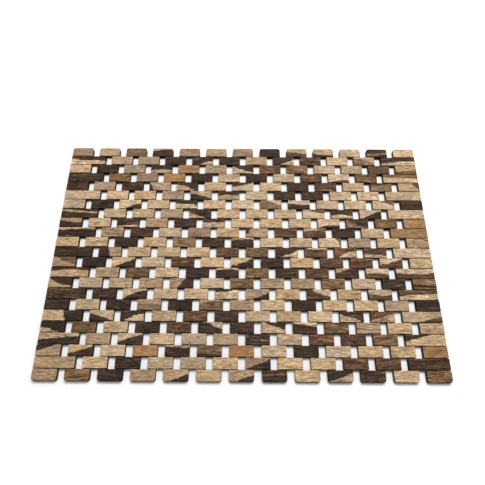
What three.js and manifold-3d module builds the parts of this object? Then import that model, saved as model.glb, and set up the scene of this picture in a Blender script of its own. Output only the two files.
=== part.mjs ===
// A roll-up bath mat of hardwood blocks threaded on cords.
// Millimetres, +Z up. X runs along the long side and Y along the short side, which is the way the cords run.
// The origin is on the floor under the middle of the mat.
import * as THREE from "three";
import { mergeVertices } from "three/addons/utils/BufferGeometryUtils.js";
import Module from "manifold-3d";

// Driving dimensions
const ROWS = 23; // rows of blocks from the back edge to the front edge
const BLOCKS = 13; // blocks in a square-ended row
const BLOCK_LENGTH = 36;
const DRAIN_GAP = 11; // between the blocks of one row
const BLOCK_WIDTH = 16.4;
const ROW_GAP = 1; // between two rows, which lets them hinge on the cords
const THICKNESS = 8;
const CORD_DIAMETER = 2.5;
const BORE = 3.2; // across the flats of the square bores
const CORD_SIDES = 6;
const CORD_END = 4; // wood left between a cord's glued end and the mat's outer edge
const CORD_END_ROOM = 0.3;
const CAP_CORNER = 3.5; // corner radius of the blocks along the two outer edges
const CORNER_STEPS = 3;
const TIE = 1; // side of the bar that joins one row's blocks into a single solid

// Worked out from those
const PITCH = BLOCK_LENGTH + DRAIN_GAP;
const ROW_PITCH = BLOCK_WIDTH + ROW_GAP;
const MAT_LENGTH = BLOCKS * PITCH - DRAIN_GAP;
const MAT_DEPTH = ROWS * ROW_PITCH - ROW_GAP;
const END_BLOCK_LENGTH = BLOCK_LENGTH + DRAIN_GAP / 2 + PITCH / 2 - BLOCK_LENGTH / 2;
const CORD_PITCH = PITCH / 2; // every block takes two cords, and an end block of an offset row takes three
const CORDS = 2 * BLOCKS;
const CORD_HEIGHT = THICKNESS / 2;

const WOOD = new THREE.MeshStandardMaterial({ color: 0xa98a62, roughness: 0.75, metalness: 0 });
const CORD = new THREE.MeshStandardMaterial({ color: 0x2b211b, roughness: 0.9, metalness: 0 });

const wasm = await Module();
wasm.setup();

// A closed three.js geometry as a solid that can be joined and cut.
function solidOf(geometry) {
  const bare = geometry.clone();
  bare.deleteAttribute("normal");
  bare.deleteAttribute("uv");
  const merged = mergeVertices(bare, 1e-4);
  return new wasm.Manifold(
    new wasm.Mesh({
      numProp: 3,
      vertProperties: new Float32Array(merged.attributes.position.array),
      triVerts: new Uint32Array(merged.index.array),
    }),
  );
}

function geometryOf(solid) {
  const mesh = solid.getMesh();
  const geometry = new THREE.BufferGeometry();
  geometry.setAttribute("position", new THREE.BufferAttribute(mesh.vertProperties, 3));
  geometry.setIndex(new THREE.BufferAttribute(mesh.triVerts, 1));
  geometry.computeVertexNormals();
  return geometry;
}

const join = (solids) => solids.reduce((whole, next) => whole.add(next));
const cut = (solid, tools) => tools.reduce((left, tool) => left.subtract(tool), solid);

// Where a row's blocks start and end along X, from left to right.
function squareRow() {
  const start = (i) => i * PITCH - MAT_LENGTH / 2;
  return Array.from({ length: BLOCKS }, (_, i) => [start(i), start(i) + BLOCK_LENGTH]);
}

// An offset row's blocks bridge the gaps of its neighbours, so its two end blocks are longer.
function offsetRow() {
  const inner = squareRow()
    .slice(1, -2)
    .map(([from, to]) => [from + PITCH / 2, to + PITCH / 2]);
  const edge = MAT_LENGTH / 2;
  return [[-edge, END_BLOCK_LENGTH - edge], ...inner, [edge - END_BLOCK_LENGTH, edge]];
}

function block([from, to]) {
  const box = new THREE.BoxGeometry(to - from, BLOCK_WIDTH, THICKNESS);
  return solidOf(box.translate((from + to) / 2, 0, THICKNESS / 2));
}

// A block of the outer edge: its two corners on the +Y side are rounded.
function capBlock([from, to]) {
  const back = BLOCK_WIDTH / 2;
  const plan = new THREE.Shape();
  plan.moveTo(from, -back);
  plan.lineTo(to, -back);
  plan.lineTo(to, back - CAP_CORNER);
  plan.absarc(to - CAP_CORNER, back - CAP_CORNER, CAP_CORNER, 0, Math.PI / 2);
  plan.lineTo(from + CAP_CORNER, back);
  plan.absarc(from + CAP_CORNER, back - CAP_CORNER, CAP_CORNER, Math.PI / 2, Math.PI);
  const curveSegments = CORNER_STEPS;
  return solidOf(new THREE.ExtrudeGeometry(plan, { depth: THICKNESS, bevelEnabled: false, curveSegments }));
}

// The blocks of a row touch nothing but the cords. This thin bar on the floor side keeps them one solid.
function tie() {
  const length = MAT_LENGTH - BLOCK_LENGTH;
  return solidOf(new THREE.BoxGeometry(length, TIE, TIE).translate(0, 0, TIE));
}

// Moves a shape made about the origin to the line of the cord with that number, halfway between two Ys.
function onCordLine(i, shape, from, to) {
  return shape.translate((i - (CORDS - 1) / 2) * CORD_PITCH, (from + to) / 2, CORD_HEIGHT);
}

// A real bore is round. A square one leaves the cord the same room with far fewer faces.
function bore(i, from, to) {
  return solidOf(onCordLine(i, new THREE.BoxGeometry(BORE, to - from, BORE), from, to));
}

const cordNumbers = Array.from({ length: CORDS }, (_, i) => i);

const bores = (from, to) => cordNumbers.map((i) => bore(i, from, to));

const THROUGH = BLOCK_WIDTH; // half a block past each face
const BLIND = BLOCK_WIDTH / 2 - CORD_END;
const rowSolid = (spans) => cut(join([tie(), ...spans.map(block)]), bores(-THROUGH, THROUGH));
const capSolid = () => cut(join([tie(), ...squareRow().map(capBlock)]), bores(-THROUGH, BLIND));

const shapes = {
  cap: geometryOf(capSolid()),
  square: geometryOf(rowSolid(squareRow())),
  offset: geometryOf(rowSolid(offsetRow())),
};

const number = (i) => String(i + 1).padStart(2, "0");

function row(i) {
  const outer = i === 0 || i === ROWS - 1;
  const shape = outer ? shapes.cap : i % 2 ? shapes.offset : shapes.square;
  const mesh = new THREE.Mesh(shape, WOOD);
  mesh.name = `block_row_${number(i)}`;
  mesh.position.y = ((ROWS - 1) / 2 - i) * ROW_PITCH;
  mesh.rotation.z = i === ROWS - 1 ? Math.PI : 0;
  return mesh;
}

function cord(i) {
  const end = MAT_DEPTH / 2 - CORD_END - CORD_END_ROOM;
  const radius = CORD_DIAMETER / 2;
  const prism = new THREE.CylinderGeometry(radius, radius, 2 * end, CORD_SIDES);
  const mesh = new THREE.Mesh(onCordLine(i, prism, -end, end), CORD);
  mesh.name = `cord_${number(i)}`;
  return mesh;
}

const blocks = new THREE.Group();
const cords = new THREE.Group();
for (let i = 0; i < ROWS; i += 1) blocks.add(row(i));
for (const i of cordNumbers) cords.add(cord(i));

const mat = new THREE.Group();
mat.add(blocks, cords);
export default mat;
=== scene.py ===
# %% [markdown]
# # A roll-up bath mat of wooden blocks
# The mat is 288 small blocks of an acacia-like wood, in 23 rows laid like brickwork. Cords run through all
# the rows from the back edge to the front edge, so every row can fold against the next one.
# The lesson makes one good block, lets Geometry Nodes lay it out row by row, gives each block its own wood
# from a written chart, and threads the cords.

# %% Load the frame
import math
import random

import bmesh
import bpy
from mathutils import Matrix, Vector


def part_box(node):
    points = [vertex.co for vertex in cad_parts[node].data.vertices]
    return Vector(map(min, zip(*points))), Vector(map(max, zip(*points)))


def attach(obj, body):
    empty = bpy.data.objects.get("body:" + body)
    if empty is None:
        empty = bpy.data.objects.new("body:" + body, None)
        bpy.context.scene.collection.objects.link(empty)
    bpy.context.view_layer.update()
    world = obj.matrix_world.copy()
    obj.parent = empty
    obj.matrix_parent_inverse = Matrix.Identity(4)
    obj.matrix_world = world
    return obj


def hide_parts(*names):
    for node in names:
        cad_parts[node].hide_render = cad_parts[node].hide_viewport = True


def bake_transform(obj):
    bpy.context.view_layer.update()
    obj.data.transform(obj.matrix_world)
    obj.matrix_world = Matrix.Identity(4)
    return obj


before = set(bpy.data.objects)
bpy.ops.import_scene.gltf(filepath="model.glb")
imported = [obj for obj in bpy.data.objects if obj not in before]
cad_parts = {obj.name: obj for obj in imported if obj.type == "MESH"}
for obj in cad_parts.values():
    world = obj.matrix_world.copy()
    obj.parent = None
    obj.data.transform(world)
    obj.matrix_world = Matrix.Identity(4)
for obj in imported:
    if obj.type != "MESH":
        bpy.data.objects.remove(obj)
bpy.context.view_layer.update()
ROWS = sorted(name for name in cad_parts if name.startswith("block_row_"))
CORDS = sorted(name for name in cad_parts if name.startswith("cord_"))
print("rows", len(ROWS), "cords", len(CORDS))

# %% [markdown]
# ## Sizes
# Where each row lies, how thick it is and where the cords run could all be written down again here, but
# then the two could come to differ. So they are measured on the frame. Only how a row is shared out into
# blocks has to be said again, because a row is a single solid in the frame.

# %% Measure the rows and the cords
MM = 1000  # in a metre
BLOCK = 0.036
DRAIN_GAP = 0.011
PITCH = BLOCK + DRAIN_GAP
LONG_BLOCK = BLOCK + PITCH / 2  # at both ends of every second row

first_low, first_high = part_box(ROWS[0])
LEFT, RIGHT = first_low.x, first_high.x
ROW_WIDTH = first_high.y - first_low.y
THICK = first_high.z - first_low.z
SQUARE_COUNT = round((RIGHT - LEFT + DRAIN_GAP) / PITCH)

row_y = [(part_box(name)[0].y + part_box(name)[1].y) / 2 for name in ROWS]
cord_low = [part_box(name)[0] for name in CORDS]
cord_high = [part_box(name)[1] for name in CORDS]
cord_x = [(low.x + high.x) / 2 for low, high in zip(cord_low, cord_high)]
CORD_RADIUS = (cord_high[0].x - cord_low[0].x) / 2
CORD_Z = (cord_low[0].z + cord_high[0].z) / 2
CORD_END = cord_high[0].y
print("block width mm", round(ROW_WIDTH * MM, 2), "thick mm", round(THICK * MM, 2))

# %% [markdown]
# ## Camera, light and floor
# The mat is seen from above and a little in front of it. A single strong lamp would throw hard shadows into
# every gap. So most of the light is even and comes from all round. A large soft light hangs high above, a
# little behind the mat and to the right, and a long low one stands far behind it. The walls of the gaps
# that face the viewer stay dark, largely from shade painted into the wood, and the wood shines only faintly.
# The floor is plain and pale.

# %% Camera
SENSOR = 36.0
LENS = 34.77
NEAREST = 0.01
CAMERA_PLACE = Vector((0.0018, -0.2963, 0.6932))
HEADING, DOWN, ROLL = math.radians(-0.32), math.radians(65.43), math.radians(0.01)

camera_data = bpy.data.cameras.new("camera")
camera = bpy.data.objects.new("camera", camera_data)
bpy.context.scene.collection.objects.link(camera)
camera_data.sensor_width = SENSOR
camera_data.lens = LENS
camera_data.clip_start = NEAREST
level = math.cos(DOWN)
look = Vector((math.sin(HEADING) * level, math.cos(HEADING) * level, -math.sin(DOWN)))
turn = look.to_track_quat("-Z", "Y").to_matrix() @ Matrix.Rotation(ROLL, 3, "Z")
camera.matrix_world = Matrix.Translation(CAMERA_PLACE) @ turn.to_4x4()
bpy.context.scene.camera = camera
print("camera height m", round(camera.location.z, 3))

# %% Lights
ROOM_LIGHT = 0.47


def soft_light(name, place, size, power):
    """A rectangular light aimed at the middle of the mat."""
    data = bpy.data.lights.new(name, "AREA")
    data.shape = "RECTANGLE"
    data.size, data.size_y = size
    data.energy = power
    lamp = bpy.data.objects.new(name, data)
    bpy.context.scene.collection.objects.link(lamp)
    aim = (-Vector(place)).normalized().to_track_quat("-Z", "Y").to_matrix().to_4x4()
    lamp.matrix_world = Matrix.Translation(place) @ aim
    print(name, "watts", power)


soft_light("ceiling", place=(0.2, 0.5, 1.85), size=(1.0, 0.7), power=33)
soft_light("low_window", place=(0.8, 2.1, 0.42), size=(1.4, 0.3), power=60)
bpy.context.scene.view_settings.view_transform = "Standard"

world = bpy.data.worlds.new("room")
bpy.context.scene.world = world
world.use_nodes = True
background = world.node_tree.nodes["Background"]
background.inputs["Color"].default_value = (1.0, 1.0, 1.0, 1.0)
background.inputs["Strength"].default_value = ROOM_LIGHT

# %% Floor
FLOOR_REACH = 3.0
FLOOR_DROP = 0.0002  # below the blocks, so that the two surfaces don't lie in each other
FLOOR_PAINT = (0.88, 0.88, 0.88, 1.0)

floor_mesh = bpy.data.meshes.new("floor")
corners = [(x * FLOOR_REACH, y * FLOOR_REACH, -FLOOR_DROP) for x, y in ((-1, -1), (1, -1), (1, 1), (-1, 1))]
floor_mesh.from_pydata(corners, [], [(0, 1, 2, 3)])
floor = bpy.data.objects.new("floor", floor_mesh)
bpy.context.scene.collection.objects.link(floor)
floor_paint = bpy.data.materials.new("pale_floor")
floor_paint.use_nodes = True
floor_shader = floor_paint.node_tree.nodes["Principled BSDF"]
floor_shader.inputs["Base Color"].default_value = FLOOR_PAINT
floor_shader.inputs["Roughness"].default_value = 0.7
floor_mesh.materials.append(floor_paint)
print("floor m", 2 * FLOOR_REACH, "square")

# %% [markdown]
# ## One block
# A real block is sawn, drilled across for its cords and tumbled, which takes the sharpness off its edges.
# In the mesh that is a box with every edge beveled, and a bore where each cord passes. A boolean could cut
# the bores, but it would leave a messy surface round them. So each bore is built: a ring in each of the two
# long sides, triangles that fill the side round its rings, and a tube from ring to ring.
# A block is used 288 times, so it stays light.

# %% Eased edges and bores
EASED_EDGE = 0.0005
EASED_STEPS = 2
CORNER_ROUND = 0.0035
CORNER_STEPS = 3
BORE_RADIUS = 0.0017
BORE_SIDES = 8


def bore_ring(mesh, x, y):
    turns = [2 * math.pi * i / BORE_SIDES for i in range(BORE_SIDES)]
    middle = CORD_Z - THICK / 2
    ring = [
        mesh.verts.new((x + BORE_RADIUS * math.cos(a), y, middle + BORE_RADIUS * math.sin(a))) for a in turns
    ]
    edges = [mesh.edges.new((ring[i], ring[(i + 1) % BORE_SIDES])) for i in range(BORE_SIDES)]
    return ring, edges


def join_rings(mesh, ring_a, ring_b):
    for i in range(BORE_SIDES):
        j = (i + 1) % BORE_SIDES
        mesh.faces.new((ring_a[i], ring_a[j], ring_b[j], ring_b[i]))


def is_outer_upright(edge, outer):
    rise = abs(edge.verts[0].co.z - edge.verts[1].co.z)
    return rise > THICK / 2 and all(v.co.y * outer > 0 for v in edge.verts)


def eased_box(mesh, length, outer):
    bmesh.ops.create_cube(mesh, size=1, matrix=Matrix.Diagonal((length, ROW_WIDTH, THICK, 1)))
    if outer:
        upright = [e for e in mesh.edges if is_outer_upright(e, outer)]
        bmesh.ops.bevel(
            mesh, geom=upright, offset=CORNER_ROUND, segments=CORNER_STEPS, profile=0.5, affect="EDGES"
        )
    sharp = [e for e in mesh.edges if e.calc_face_angle(0) > math.radians(60)]
    bmesh.ops.bevel(mesh, geom=sharp, offset=EASED_EDGE, segments=EASED_STEPS, profile=0.5, affect="EDGES")
    for face in mesh.faces:
        face.smooth = max(abs(c) for c in face.normal) < 0.999


print("bore mm", round(2 * BORE_RADIUS * MM, 2), "for a cord of mm", round(2 * CORD_RADIUS * MM, 2))

# %% Forms of block
BLIND_DEPTH = ROW_WIDTH - 0.004  # of the bores in the two edge rows, which stop short of the mat's edge


def block_mesh(name, length, bores, outer=0):
    """A block about its own middle. outer is 1 or -1 where its +Y or -Y side is the mat's outer edge."""
    mesh = bmesh.new()
    eased_box(mesh, length, outer)
    sides = {}
    for side in (1, -1):
        if side == outer:
            continue
        flat = max((f for f in mesh.faces if f.normal.y * side > 0.99), key=lambda f: f.calc_area())
        edges = list(flat.edges)
        mesh.faces.remove(flat)
        sides[side] = [bore_ring(mesh, x, side * ROW_WIDTH / 2) for x in bores]
        for _, ring_edges in sides[side]:
            edges += ring_edges
        bmesh.ops.triangle_fill(mesh, use_beauty=True, use_dissolve=False, edges=edges, normal=(0, side, 0))
    for number, x in enumerate(bores):
        if outer:
            ring = sides[-outer][number][0]
            end, _ = bore_ring(mesh, x, outer * (BLIND_DEPTH - ROW_WIDTH / 2))
            join_rings(mesh, ring, end)
            mesh.faces.new(end)
        else:
            join_rings(mesh, sides[1][number][0], sides[-1][number][0])
    bmesh.ops.recalc_face_normals(mesh, faces=mesh.faces)
    data = bpy.data.meshes.new(name)
    mesh.to_mesh(data)
    mesh.free()
    print(name, len(data.polygons), "faces")
    return bpy.data.objects.new(name, data)


TWO_CORDS = (-PITCH / 4, PITCH / 4)
THREE_CORDS = (-PITCH / 2, 0, PITCH / 2)
standard_block = block_mesh("standard_block", BLOCK, TWO_CORDS)
back_block = block_mesh("back_edge_block", BLOCK, TWO_CORDS, outer=1)
front_block = block_mesh("front_edge_block", BLOCK, TWO_CORDS, outer=-1)
long_block = block_mesh("long_block", LONG_BLOCK, THREE_CORDS)

# %% [markdown]
# ## Which wood goes where
# The maker takes blocks as they come from the saw: cream sapwood, brown heartwood, and many with both. A
# random choice would be quicker, but where the dark blocks fall is a large part of how this mat looks. So a
# chart says for each block, row by row from the back edge and left to right, what it is.
# A capital letter is the main wood. A small letter is a second wood in the same block, and the digit says
# where, as on a number pad seen from the front: 7, 8 and 9 along the back, 4 and 6 at the ends, 1, 2 and 3
# along the front, 5 a stripe through the middle, 0 streaks all over. A minus after it means a small share,
# a plus a large one.

# %% Chart of woods
WOODS = {
    "l": (0.71, 0.61, 0.48),
    "y": (0.71, 0.60, 0.45),
    "t": (0.63, 0.53, 0.41),
    "p": (0.57, 0.465, 0.375),
    "g": (0.62, 0.54, 0.43),
    "o": (0.59, 0.44, 0.29),
    "v": (0.385, 0.305, 0.208),
    "b": (0.465, 0.37, 0.272),
    "r": (0.30, 0.22, 0.157),
    "d": (0.203, 0.155, 0.115),
    "k": (0.184, 0.143, 0.112),
}
CHART = """
P G V Dt8- P T P K Tr2 Td2- L Db5 L
Dl2 T G D Dl3- D T Dl3- Db0 L Bt9 Dl2
L D G Dl2 O G Dl1 R V L T R Tv2
D V P O K L K L R Lr2- Vd0 Lv8
D T D Gd4- Td9+ L Ld7 L D R L Bd8- Tr6-
L L Y T Ld1 Td8 L D D L L L
L K Ld3- L Dl2 L L Bl9- Ld2 L L Lv9- D
Dt5 L L T Dt1- L L L Lr9- Dl2 Ld3 L
Pd2 L Dl2- T K Dl2 L Y L Ld2- Db1 V O
Kl8- Tr0 D L P Y Td4- R Rt8- D L Ob0
Y L D Y B K Dt8- L L Lv6- T Y Tv0
D Td4+ L Y Y R V Dl3- Rl8- Rl3 Rl2- L
Tv9 K Ld3 L Rd0 L Yd3 D Y R R Rl7 Y
Td8- T Vd0 L K Dt8- V D R Dt7- Lr2 Lr2
Td9+ L T T Pd6+ L V Tv0 T V L Dv0 Bd5
Dv0 D Dl7 L L Dl2+ Td3- Y Rl9 Yv0 Tr2 Rl2
D L K Tb2 K Vl8- T Y K Y Y T K
Lk6+ Ld1 Dl3 T R D L T L Dl1 Rt3 Lr3-
Kt1- Vd0 L D R Dl9- D Ld9 Dl8- Vd0 Tr0 Y T
Kl8 T Dl7 L L T Kb0 L R Rd0 V Ld7-
Td7- Yd3 L O Kt8- Vd2- O L K L Y Y O
T L D L G Y Pk3 Y Y R R Dr0
T Br0 K T Td3- Y Td3- Dv5 Y Dt3 Dv0 L V
"""
chart_rows = [line.split() for line in CHART.strip().splitlines()]
print("blocks in the chart", sum(len(line) for line in chart_rows))

# %% [markdown]
# ## The plan of a row
# Each block needs to know its form, its two woods, where they meet, how its grain leans and where in the
# tree it was cut. A loop could copy a block and write all that on every face of it. One point for each
# block can carry the same facts, and Geometry Nodes then puts a block on each point.

# %% Where the blocks of a row lie
STANDARD, BACK_EDGE, FRONT_EDGE, LONG = range(4)


def row_spans(row):
    square = [(LEFT + i * PITCH, LEFT + i * PITCH + BLOCK) for i in range(SQUARE_COUNT)]
    if row % 2 == 0:
        return square
    inner = [(a + PITCH / 2, b + PITCH / 2) for a, b in square[1:-2]]
    return [(LEFT, LEFT + LONG_BLOCK)] + inner + [(RIGHT - LONG_BLOCK, RIGHT)]


def block_form(row, span):
    if row == 0:
        return BACK_EDGE
    if row == len(ROWS) - 1:
        return FRONT_EDGE
    return LONG if span[1] - span[0] > PITCH else STANDARD


print("blocks in the first two rows", len(row_spans(0)), len(row_spans(1)))

# %% Where two woods meet in a block
# How far the line between two woods lies from the block's middle, in parts of its half width or half
# length, for a small share of the second wood, a usual one and a large one.
SIDE_SHARE = {"-": (0.45, 0.65), "": (-0.1, 0.2), "+": (-0.45, -0.25)}
END_SHARE = {"-": (0.6, 0.8), "": (0.3, 0.5), "+": (-0.1, 0.1)}
CORNER_SHARE = {"-": (0.5, 0.7), "": (0.05, 0.3), "+": (-0.4, -0.15)}
SIDE_SLANT = 0.12
END_SLANT = 0.8
CORNER_SLOPES = (0.6, 1.0)


def meeting_line(place, share, half_length, dice):
    """Normal and offset in mm of the line where a block's woods meet. The second wood is beyond it."""
    half_width = ROW_WIDTH / 2 * MM
    if place in "82":
        slant = dice.uniform(-SIDE_SLANT, SIDE_SLANT)
        return slant, 1 if place == "8" else -1, half_width * dice.uniform(*SIDE_SHARE[share])
    if place in "46":
        slant = dice.uniform(-END_SLANT, END_SLANT)
        return 1 if place == "6" else -1, slant, half_length * dice.uniform(*END_SHARE[share])
    across = 1 if place in "93" else -1
    along = 1 if place in "79" else -1
    slope = dice.uniform(*CORNER_SLOPES) * half_width / half_length
    return across * slope, along, half_width * dice.uniform(*CORNER_SHARE[share])


back_line = meeting_line("8", "", BLOCK / 2 * MM, random.Random(0))
print("a line with the second wood behind it:", [round(v, 2) for v in back_line])

# %% Facts about one block
NOWHERE = 1000  # mm from the middle: a line or a stripe that lies outside the block
PALE = 0.5  # the red of a wood above which it counts as pale
TONE_SPREAD = 0.03
WARMTH_SPREAD = 0.012
BLUE_AGAINST_RED = -1.5
DARKER, LIGHTER = (0.72, 0.86), (1.2, 1.6)  # streaks are darker in pale wood and lighter in dark wood
STREAK_TINTS = ((1.05, 0.98, 0.93), (1.0, 1.0, 0.95), (1.0, 1.0, 1.0))
PALE_CONTRAST, DARK_CONTRAST = 1.45, 2.4
USUAL_LEAN, WILD_LEAN = 0.07, 0.2  # radians that the grain leans from the block's length
TREE_REACH = 400  # mm each way


def block_facts(token, half_length, dice):
    main = WOODS[token[0].lower()]
    tone = dice.gauss(0, TONE_SPREAD)
    pale = main[0] > PALE
    tint = dice.choice(STREAK_TINTS)
    strength = dice.uniform(*(DARKER if pale else LIGHTER))
    second = [c * strength * t for c, t in zip(main, tint)]
    warmth = dice.gauss(0, WARMTH_SPREAD)
    line, stripe, streaks = (0, 0, NOWHERE), -NOWHERE, dice.uniform(0.3, 0.8)
    if len(token) > 1:
        second, place, streaks = WOODS[token[1]], token[2], dice.uniform(0.0, 0.12)
        if place == "5":
            stripe = dice.uniform(1.5, 3.0)
        elif place == "0":
            streaks = 1.0
        else:
            line = meeting_line(place, token[3:], half_length, dice)
    shifts = (warmth, 0, BLUE_AGAINST_RED * warmth)
    return {
        "wood": [c * (1 + tone) * (1 + shift) for c, shift in zip(main, shifts)],
        "second_wood": second,
        "meeting": line,
        "stripe": (dice.uniform(-3, 3), stripe, streaks),
        "tree": [dice.uniform(-TREE_REACH, TREE_REACH) for _ in range(3)],
        "lean": dice.gauss(0, USUAL_LEAN) if dice.random() < 0.8 else dice.gauss(0, WILD_LEAN),
        "contrast": PALE_CONTRAST if pale else DARK_CONTRAST,
        "bow": dice.choice((-1, 1)) * dice.uniform(0.3, 2.0) / half_length ** 2,
    }


print("facts for each block:", ", ".join(block_facts("L", BLOCK / 2 * MM, random.Random(0))))


# %% Plan points
def linear(colour):
    return [c / 12.92 if c <= 0.04045 else ((c + 0.055) / 1.055) ** 2.4 for c in colour]


def plan_points(row):
    dice = random.Random(100 + row)
    spans = row_spans(row)
    tokens = chart_rows[row]
    assert len(tokens) == len(spans)
    data = bpy.data.meshes.new(f"plan_{row + 1:02d}")
    centres = [((a + b) / 2, row_y[row], THICK / 2) for a, b in spans]
    half_sizes = [((b - a) / 2, ROW_WIDTH / 2, THICK / 2) for a, b in spans]
    data.from_pydata(centres, [], [])
    facts = [block_facts(token, (b - a) / 2 * MM, dice) for token, (a, b) in zip(tokens, spans)]

    def store(name, kind, values, field):
        attribute = data.attributes.new(name, kind, "POINT")
        attribute.data.foreach_set(field, [v for value in values for v in value])

    for name in ("wood", "second_wood"):
        store(name, "FLOAT_COLOR", [linear(fact[name]) + [1] for fact in facts], "color")
    for name in ("meeting", "stripe", "tree"):
        store(name, "FLOAT_VECTOR", [fact[name] for fact in facts], "vector")
    store("middle", "FLOAT_VECTOR", centres, "vector")
    store("half_size", "FLOAT_VECTOR", half_sizes, "vector")
    for name in ("lean", "bow", "contrast"):
        store(name, "FLOAT", [[fact[name]] for fact in facts], "value")
    store("form", "INT", [[block_form(row, span)] for span in spans], "value")
    return data


print("cream wood in linear light:", [round(c, 3) for c in linear(WOODS["l"])])

# %% [markdown]
# ## The wood
# Each block is cut from somewhere in a tree. A picture of wood would have to be unwrapped on every block,
# and would repeat. So the pattern is worked out through the whole thickness, and shows correctly on the
# top, the long sides and the end grain. Everything is stretched along X, the way the grain runs.
# From coarse to fine: where sapwood meets heartwood, dark streaks, browner bands in the heartwood, growth
# rings, flecks, pores and fibre.


# %% Node helpers
class Bench:
    """Adds and joins nodes in one tree."""

    def __init__(self, tree):
        self.tree = tree

    def put(self, value, socket):
        if isinstance(value, bpy.types.NodeSocket):
            self.tree.links.new(value, socket)
        elif value is not None:
            socket.default_value = value

    def add(self, kind, inputs=(), **settings):
        node = self.tree.nodes.new(kind)
        for name, value in settings.items():
            setattr(node, name, value)
        for key, value in dict(inputs).items():
            self.put(value, node.inputs[key])
        return node

    def math(self, operation, a, b=None, c=None):
        node = self.add("ShaderNodeMath", operation=operation)
        for socket, value in zip(node.inputs, (a, b, c)):
            self.put(value, socket)
        return node.outputs[0]

    def vector(self, operation, a, b=None):
        second = "Scale" if operation == "SCALE" else 1
        node = self.add("ShaderNodeVectorMath", {0: a, second: b}, operation=operation)
        return node.outputs["Value" if operation == "DOT_PRODUCT" else "Vector"]

    def xyz(self, x=None, y=None, z=None):
        return self.add("ShaderNodeCombineXYZ", {"X": x, "Y": y, "Z": z}).outputs[0]

    def parts(self, vector):
        return self.add("ShaderNodeSeparateXYZ", {0: vector}).outputs

    def ramp(self, value, low, high, to_low=0.0, to_high=1.0):
        ends = {"Value": value, "From Min": low, "From Max": high, "To Min": to_low, "To Max": to_high}
        return self.add("ShaderNodeMapRange", ends, interpolation_type="SMOOTHSTEP").outputs[0]

    def mix(self, factor, a, b, blend="MIX"):
        node = self.add("ShaderNodeMix", {0: factor}, data_type="RGBA", blend_type=blend)
        self.put(a, node.inputs[6])
        self.put(b, node.inputs[7])
        return node.outputs[2]

    def noise(self, at, scale, detail=2.0, rough=0.5):
        facts = {"Vector": at, "Scale": scale, "Detail": detail, "Roughness": rough}
        return self.add("ShaderNodeTexNoise", facts).outputs[0]

    def grain(self, at, fineness, detail=2.0, rough=0.5):
        """Noise with its own fineness along the grain, across it and through the thickness."""
        return self.noise(self.vector("MULTIPLY", at, fineness), 1.0, detail, rough)

    def fact(self, name, output="Fac"):
        return self.add("ShaderNodeAttribute", attribute_name=name).outputs[output]


# %% The place in the tree
# Fineness is in waves per millimetre: along the grain, across it and through the thickness.
SLOW_WAVES = (0.02, 0.09, 0.09)
WANDER = 7.0  # mm that the slow waves bend the grain, from end to end of their range

block_wood = bpy.data.materials.new("block_wood")
block_wood.use_nodes = True
bench = Bench(block_wood.node_tree)
shader = block_wood.node_tree.nodes["Principled BSDF"]

object_place = bench.add("ShaderNodeTexCoord").outputs["Object"]
in_block = bench.vector("SUBTRACT", object_place, bench.fact("middle", "Vector"))
mm = bench.vector("SCALE", in_block, float(MM))
leaned = bench.add(
    "ShaderNodeVectorRotate", {"Vector": mm, "Angle": bench.fact("lean")}, rotation_type="Z_AXIS"
).outputs[0]
tree_place = bench.vector("ADD", leaned, bench.fact("tree", "Vector"))

wander = bench.math("MULTIPLY_ADD", bench.grain(tree_place, SLOW_WAVES), WANDER, -WANDER / 2)
shift = bench.xyz(y=wander, z=wander)
grain_place = bench.vector("ADD", tree_place, shift)
print("wood nodes", len(block_wood.node_tree.nodes))

# %% [markdown]
# ### Where the two woods meet
# A block from near the bark shows pale sapwood beside dark heartwood. That line could be painted on each
# block by hand. Here each block's point holds the normal and the offset of the line, so the material can
# tell on which side of it a spot lies. A bow bends the line and a noise makes it ragged.

# %% Line, stripe and streaks
RAGGED_EDGE = (0.05, 0.30, 0.30)
RAGGEDNESS = 8.0  # mm, from end to end of the noise's range
STREAKS = (0.02, 0.5, 0.5)

meeting = bench.parts(bench.fact("meeting", "Vector"))
normal = bench.xyz(meeting[0], meeting[1])
tangent = bench.xyz(meeting[1], bench.math("MULTIPLY", meeting[0], -1.0))
past_straight = bench.math("SUBTRACT", bench.vector("DOT_PRODUCT", mm, normal), meeting[2])
along_line = bench.vector("DOT_PRODUCT", mm, tangent)
bow = bench.math("MULTIPLY", bench.math("MULTIPLY", along_line, along_line), bench.fact("bow"))
ragged = bench.grain(tree_place, RAGGED_EDGE, 3.0, 0.6)
raggedness = bench.math("MULTIPLY_ADD", ragged, RAGGEDNESS, -RAGGEDNESS / 2)
beyond = bench.math("ADD", bench.math("ADD", past_straight, bow), raggedness)
past_line = bench.ramp(beyond, -0.25, 0.35)

stripe = bench.parts(bench.fact("stripe", "Vector"))
bent_y = bench.parts(bench.vector("ADD", leaned, shift))[1]
from_stripe = bench.math("ABSOLUTE", bench.math("SUBTRACT", bent_y, stripe[0]))
in_stripe = bench.ramp(bench.math("SUBTRACT", stripe[1], from_stripe), -0.5, 0.6)

streak = bench.ramp(bench.grain(grain_place, STREAKS, 4.0, 0.65), 0.50, 0.64)
streak = bench.math("MULTIPLY", streak, stripe[2])

second_share = bench.math("MAXIMUM", bench.math("MAXIMUM", past_line, in_stripe), streak)
two_woods = bench.mix(second_share, bench.fact("wood", "Color"), bench.fact("second_wood", "Color"))
print("wood nodes", len(block_wood.node_tree.nodes))

# %% Browner bands in heartwood
BANDS = (0.025, 0.42, 0.42)
DARK_WOOD, LIGHT_WOOD = 0.05, 0.17  # brightness of pure heartwood, and of wood that has none
BROWNER = (2.9, 2.45, 2.05, 1.0)

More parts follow.
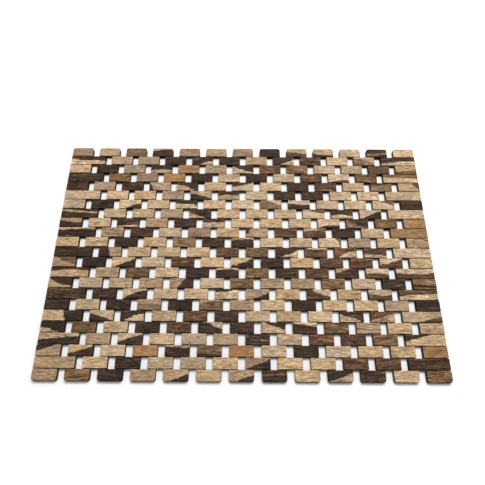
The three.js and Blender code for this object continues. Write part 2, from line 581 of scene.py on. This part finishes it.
brightness = bench.add("ShaderNodeRGBToBW", {0: two_woods}).outputs[0]
heartwood = bench.ramp(brightness, DARK_WOOD, LIGHT_WOOD, 1.0, 0.0)
in_band = bench.ramp(bench.grain(grain_place, BANDS, 4.0, 0.7), 0.50, 0.66)
browner = bench.mix(1.0, two_woods, BROWNER, blend="MULTIPLY")
banded_wood = bench.mix(bench.math("MULTIPLY", in_band, heartwood), two_woods, browner)
print("wood nodes", len(block_wood.node_tree.nodes))

# %% [markdown]
# ### Rings, flecks, pores and fibre
# One fine noise could stand for all the figure of the wood, but real wood shows something at every scale.
# So there is a pattern for each: broad clouds, growth rings a few millimetres apart, short flecks, thin
# dark pores and the finest fibre. Each is a number a little over or under one, and they are multiplied
# together. A block's contrast then says how strongly they show.

# %% Figure of the wood
RINGS = (0.012, 0.3, 0.3)
CLOUDS = (0.05, 0.12, 0.12)
FLECKS = (0.10, 1.05, 1.05)
PORES = (0.28, 2.6, 2.6)
FIBRE = (0.10, 5.5, 5.5)
USUAL_FIGURE = 0.92
DEEPEST_FIGURE = 0.25

ring_waves = bench.add(
    "ShaderNodeTexWave",
    {
        "Vector": bench.vector("MULTIPLY", grain_place, RINGS),
        "Scale": 1.0,
        "Distortion": 3.5,
        "Detail": 3.0,
        "Detail Scale": 1.4,
    },
    wave_type="BANDS",
    bands_direction="Y",
    wave_profile="SAW",
).outputs["Fac"]
rings = bench.ramp(ring_waves, 0.0, 1.0, 1.10, 0.80)
pores = bench.ramp(bench.grain(grain_place, PORES, 2.0, 0.6), 0.52, 0.64, 1.06, 0.58)
flecks = bench.ramp(bench.grain(grain_place, FLECKS, 3.0, 0.65), 0.38, 0.62, 1.22, 0.70)
fibre_noise = bench.grain(grain_place, FIBRE, 3.0, 0.65)
fibre = bench.ramp(fibre_noise, 0.25, 0.75, 0.84, 1.12)
clouds = bench.ramp(bench.grain(tree_place, CLOUDS), 0.3, 0.7, 0.88, 1.08)

figure = rings
for pattern in (pores, flecks, fibre, clouds):
    figure = bench.math("MULTIPLY", figure, pattern)
off_usual = bench.math("SUBTRACT", figure, USUAL_FIGURE)
stronger = bench.math("MULTIPLY", off_usual, bench.fact("contrast"))
figure = bench.math("MAXIMUM", bench.math("ADD", stronger, USUAL_FIGURE), DEEPEST_FIGURE)
dark_line = bench.ramp(bench.math("ABSOLUTE", beyond), 0.0, 0.9, 0.75, 1.0)
figure = bench.math("MULTIPLY", figure, dark_line)
print("wood nodes", len(block_wood.node_tree.nodes))

# %% [markdown]
# ### Painted shade on the walls
# The sides are darkened to stand in for the shade that falls on them in the gaps: painted shade. The walls
# could get a material of their own, but its edge would be ruled. The depth below the top is known from the
# block's half size, so the painted shade can fade in over the first part of a millimetre, unevenly.

# %% Painted shade on the walls
FADE_DEPTH = 0.4
WALL_SHADE = 0.12
UNEVEN = 0.3
UNEVEN_FINENESS = 0.25

from_faces = bench.vector("SUBTRACT", bench.fact("half_size", "Vector"), bench.vector("ABSOLUTE", in_block))
depth = bench.parts(bench.vector("SCALE", from_faces, float(MM)))[2]
uneven = bench.noise(bench.vector("SCALE", tree_place, UNEVEN_FINENESS), 1.0)
depth = bench.math("ADD", depth, bench.math("MULTIPLY_ADD", uneven, UNEVEN, -UNEVEN / 2))
# painted shade: below the top the wood is darkened to a small share of its own colour
figure = bench.math("MULTIPLY", figure, bench.ramp(depth, 0.0, FADE_DEPTH, 1.0, WALL_SHADE))
bench.put(bench.vector("SCALE", banded_wood, figure), shader.inputs["Base Color"])
print("wood nodes", len(block_wood.node_tree.nodes))

# %% [markdown]
# ### Touch of the surface
# The blocks are oiled, not lacquered: matt, with open pores and a faint nap. Real dents would take far more
# faces than 288 blocks can have, so a bump node gives them.

# %% Relief and gloss
RELIEF_DEPTH = 0.00012
OILED_GLOSS = 0.12

relief = bench.math("ADD", bench.math("MULTIPLY", pores, 0.6), bench.math("MULTIPLY", fibre, 0.5))
relief = bench.math("ADD", relief, bench.math("MULTIPLY", rings, 0.35))
bump = bench.add("ShaderNodeBump", {"Strength": 0.5, "Distance": RELIEF_DEPTH, "Height": relief})
bench.put(bump.outputs[0], shader.inputs["Normal"])
bench.put(bench.ramp(fibre_noise, 0.3, 0.7, 0.85, 0.68), shader.inputs["Roughness"])
shader.inputs["Specular IOR Level"].default_value = OILED_GLOSS
print("wood nodes", len(block_wood.node_tree.nodes))

# %% [markdown]
# ## Laying out the rows
# On the real mat the blocks hang on their cords with a little play, so no row is perfectly even. The tree
# takes a row's plan, nudges and turns each block within that play, and puts the right form of block on each
# point. An array modifier would repeat one block evenly, but it can't choose a form or carry facts. Here
# the facts on the points travel with the blocks into the real mesh.

# %% Row tree
BLOCK_FORMS = {
    "Standard block": standard_block,
    "Back edge block": back_block,
    "Front edge block": front_block,
    "Long block": long_block,
}


def new_tree(name, inputs, output):
    tree = bpy.data.node_groups.new(name, "GeometryNodeTree")
    for socket, kind in inputs.items():
        tree.interface.new_socket(socket, in_out="INPUT", socket_type="NodeSocket" + kind)
    tree.interface.new_socket(output, in_out="OUTPUT", socket_type="NodeSocketGeometry")
    return tree


def row_tree():
    inputs = {"Plan": "Geometry", **{name: "Object" for name in BLOCK_FORMS}}
    inputs.update({"Side play": "Float", "Turn play": "Float", "Seed": "Int", "Wood": "Material"})
    tree = new_tree("lay_out_row", inputs, "Row")
    laying = Bench(tree)
    given = laying.add("NodeGroupInput").outputs

    # A Random Value node has its limits for vectors at 0 and 1, and those for single numbers at 2 and 3.
    side = laying.xyz(given["Side play"])
    nudge = laying.add("FunctionNodeRandomValue", {"Seed": given["Seed"]}, data_type="FLOAT_VECTOR")
    laying.put(laying.vector("SCALE", side, -1.0), nudge.inputs[0])
    laying.put(side, nudge.inputs[1])
    nudged = laying.add("GeometryNodeSetPosition", {"Geometry": given["Plan"], "Offset": nudge.outputs[0]})
    swing = laying.add("FunctionNodeRandomValue", {"Seed": given["Seed"]}, data_type="FLOAT")
    laying.put(laying.math("MULTIPLY", given["Turn play"], -1.0), swing.inputs[2])
    laying.put(given["Turn play"], swing.inputs[3])
    turned = laying.xyz(z=swing.outputs[1])

    form = laying.add("GeometryNodeInputNamedAttribute", {"Name": "form"}, data_type="INT").outputs[0]
    gathered = laying.add("GeometryNodeJoinGeometry")
    for number, name in enumerate(BLOCK_FORMS):
        shape = laying.add("GeometryNodeObjectInfo", {"Object": given[name]}).outputs["Geometry"]
        same = laying.add("FunctionNodeCompare", {2: form, 3: number}, data_type="INT", operation="EQUAL")
        where = {"Points": nudged.outputs[0], "Selection": same.outputs[0], "Rotation": turned}
        placed = laying.add("GeometryNodeInstanceOnPoints", {**where, "Instance": shape})
        laying.put(placed.outputs[0], gathered.inputs[0])
    real = laying.add("GeometryNodeRealizeInstances", {"Geometry": gathered.outputs[0]})
    dress = {"Geometry": real.outputs[0], "Material": given["Wood"]}
    dressed = laying.add("GeometryNodeSetMaterial", dress).outputs[0]
    laying.put(dressed, laying.add("NodeGroupOutput").inputs[0])
    print("nodes in the row tree", len(tree.nodes))
    return tree


laying_tree = row_tree()

# %% Make the rows
SIDE_PLAY = 0.0003
SWING = 0.000065  # of a block's end. More than this and folded rows would touch.


def made_plain(carrier, name):
    """The evaluated result of an object's modifiers as an object of its own at the origin."""
    bpy.context.view_layer.update()
    evaluated = carrier.evaluated_get(bpy.context.evaluated_depsgraph_get())
    mesh = bpy.data.meshes.new_from_object(evaluated)
    mesh.name = name
    piece = bpy.data.objects.new(name, mesh)
    bpy.context.scene.collection.objects.link(piece)
    bpy.data.objects.remove(carrier)
    return piece


def run_tree(tree, mesh, name, values):
    carrier = bpy.data.objects.new(name + "_plan", mesh)
    bpy.context.scene.collection.objects.link(carrier)
    modifier = carrier.modifiers.new("layout", "NODES")
    modifier.node_group = tree
    for socket in tree.interface.items_tree:
        if socket.in_out == "INPUT" and socket.name in values:
            modifier[socket.identifier] = values[socket.name]
    return made_plain(carrier, name)


for row, node in enumerate(ROWS):
    longest = LONG_BLOCK if row % 2 else BLOCK
    values = {"Side play": SIDE_PLAY, "Turn play": SWING / (longest / 2), "Seed": row, "Wood": block_wood}
    piece = run_tree(laying_tree, plan_points(row), f"wood_row_{row + 1:02d}", {**BLOCK_FORMS, **values})
    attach(piece, f"row_{row + 1:02d}")
    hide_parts(node)
print("faces in the last row", len(piece.data.polygons))

# %% [markdown]
# ## The cords
# Each cord is one length of dark braid, glued into the two edge rows. A single tube could follow only one
# body, but a cord has to bend wherever the mat folds. So it is made as stretches from the middle of one row
# to the middle of the next, with rings close together where it crosses the space between the rows.
# The braid's strands wind round the cord both ways, so two waves that run round and along it draw them,
# with painted shade in the dips between them.

# %% Cord material
STRANDS = 4  # each way round
CROSSINGS = 700.0  # of each strand in a metre of cord
# the darker colour in the dips between the strands is painted shade
IN_THE_DIPS, ON_THE_STRANDS = (0.008, 0.006, 0.005, 1.0), (0.055, 0.042, 0.034, 1.0)

cord_braid = bpy.data.materials.new("cord_braid")
cord_braid.use_nodes = True
braiding = Bench(cord_braid.node_tree)
cord_shader = cord_braid.node_tree.nodes["Principled BSDF"]
places = braiding.add("ShaderNodeTexCoord").outputs
uv = braiding.parts(places["UV"])
around = braiding.math("MULTIPLY", uv[0], STRANDS * 2 * math.pi)
along = braiding.math("MULTIPLY", uv[1], 2 * math.pi * CROSSINGS)
over = braiding.math("SINE", braiding.math("ADD", around, along))
under = braiding.math("SINE", braiding.math("SUBTRACT", around, along))
strands = braiding.math("MAXIMUM", over, under)
fuzz = braiding.math("MULTIPLY", braiding.noise(places["Object"], 2500.0), 0.3)
tone = braiding.math("ADD", braiding.ramp(strands, 0.0, 1.0, 0.0, 0.8), fuzz)
braiding.put(braiding.mix(tone, IN_THE_DIPS, ON_THE_STRANDS), cord_shader.inputs["Base Color"])
dips = braiding.add("ShaderNodeBump", {"Strength": 0.6, "Distance": 0.0003, "Height": strands})
braiding.put(dips.outputs[0], cord_shader.inputs["Normal"])
cord_shader.inputs["Roughness"].default_value = 0.9
print("cord nodes", len(cord_braid.node_tree.nodes))

# %% One stretch of cord
CORD_SIDES = 8
GAP_RINGS = 5


def cord_ring(mesh, y):
    turns = [2 * math.pi * i / CORD_SIDES for i in range(CORD_SIDES)]
    return [
        mesh.verts.new((CORD_RADIUS * math.cos(a), y, CORD_Z + CORD_RADIUS * math.sin(a))) for a in turns
    ]


def tube(name, rings):
    """A closed tube along Y with its UV map in turns and metres."""
    mesh = bmesh.new()
    uv_layer = mesh.loops.layers.uv.new("braid")
    loops = [cord_ring(mesh, y) for y in rings]
    for low, high, y_low, y_high in zip(loops, loops[1:], rings, rings[1:]):
        for i in range(CORD_SIDES):
            j = (i + 1) % CORD_SIDES
            face = mesh.faces.new((low[i], high[i], high[j], low[j]))
            face.smooth = True
            spots = ((i, y_low), (i, y_high), (i + 1, y_high), (i + 1, y_low))
            for loop, (side, y) in zip(face.loops, spots):
                loop[uv_layer].uv = (side / CORD_SIDES, y)
    mesh.faces.new(loops[0])
    mesh.faces.new(list(reversed(loops[-1])))
    bmesh.ops.recalc_face_normals(mesh, faces=mesh.faces)
    data = bpy.data.meshes.new(name)
    mesh.to_mesh(data)
    mesh.free()
    return bpy.data.objects.new(name, data)


def stretch_of(row):
    """The stretch from one row to the next, and where the space between the two starts and ends."""
    leaves, enters = row_y[row] - ROW_WIDTH / 2, row_y[row + 1] + ROW_WIDTH / 2
    start = CORD_END if row == 0 else row_y[row]
    stop = -CORD_END if row == len(ROWS) - 2 else row_y[row + 1]
    crossing = [leaves + (enters - leaves) * i / (GAP_RINGS - 1) for i in range(GAP_RINGS)]
    return tube(f"stretch_{row + 1:02d}", [start] + crossing + [stop]), leaves, enters


print("sides of a cord", CORD_SIDES, "rings over each space", GAP_RINGS)


# %% Thread the cords
def threading_tree():
    inputs = {"Plan": "Geometry", "Stretch": "Object", "Count": "Int", "First": "Float", "Spacing": "Float"}
    tree = new_tree("thread_cords", {**inputs, "Braid": "Material"}, "Cords")
    threading = Bench(tree)
    given = threading.add("NodeGroupInput").outputs
    line = {"Count": given["Count"], "Start Location": threading.xyz(given["First"])}
    line["Offset"] = threading.xyz(given["Spacing"])
    points = threading.add("GeometryNodeMeshLine", line).outputs[0]
    shape = threading.add("GeometryNodeObjectInfo", {"Object": given["Stretch"]}).outputs["Geometry"]
    placed = threading.add("GeometryNodeInstanceOnPoints", {"Points": points, "Instance": shape})
    real = threading.add("GeometryNodeRealizeInstances", {"Geometry": placed.outputs[0]})
    dress = {"Geometry": real.outputs[0], "Material": given["Braid"]}
    dressed = threading.add("GeometryNodeSetMaterial", dress).outputs[0]
    threading.put(dressed, threading.add("NodeGroupOutput").inputs[0])
    return tree


cords_tree = threading_tree()
spread = {"Count": len(CORDS), "First": cord_x[0], "Spacing": cord_x[1] - cord_x[0], "Braid": cord_braid}
for row in range(len(ROWS) - 1):
    stretch, leaves, enters = stretch_of(row)
    name = f"cord_stretch_{row + 1:02d}_{row + 2:02d}"
    piece = run_tree(cords_tree, bpy.data.meshes.new(name + "_plan"), name, {**spread, "Stretch": stretch})
    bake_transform(piece)
    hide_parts(*CORDS)
print("faces in a set of stretches", len(piece.data.polygons))
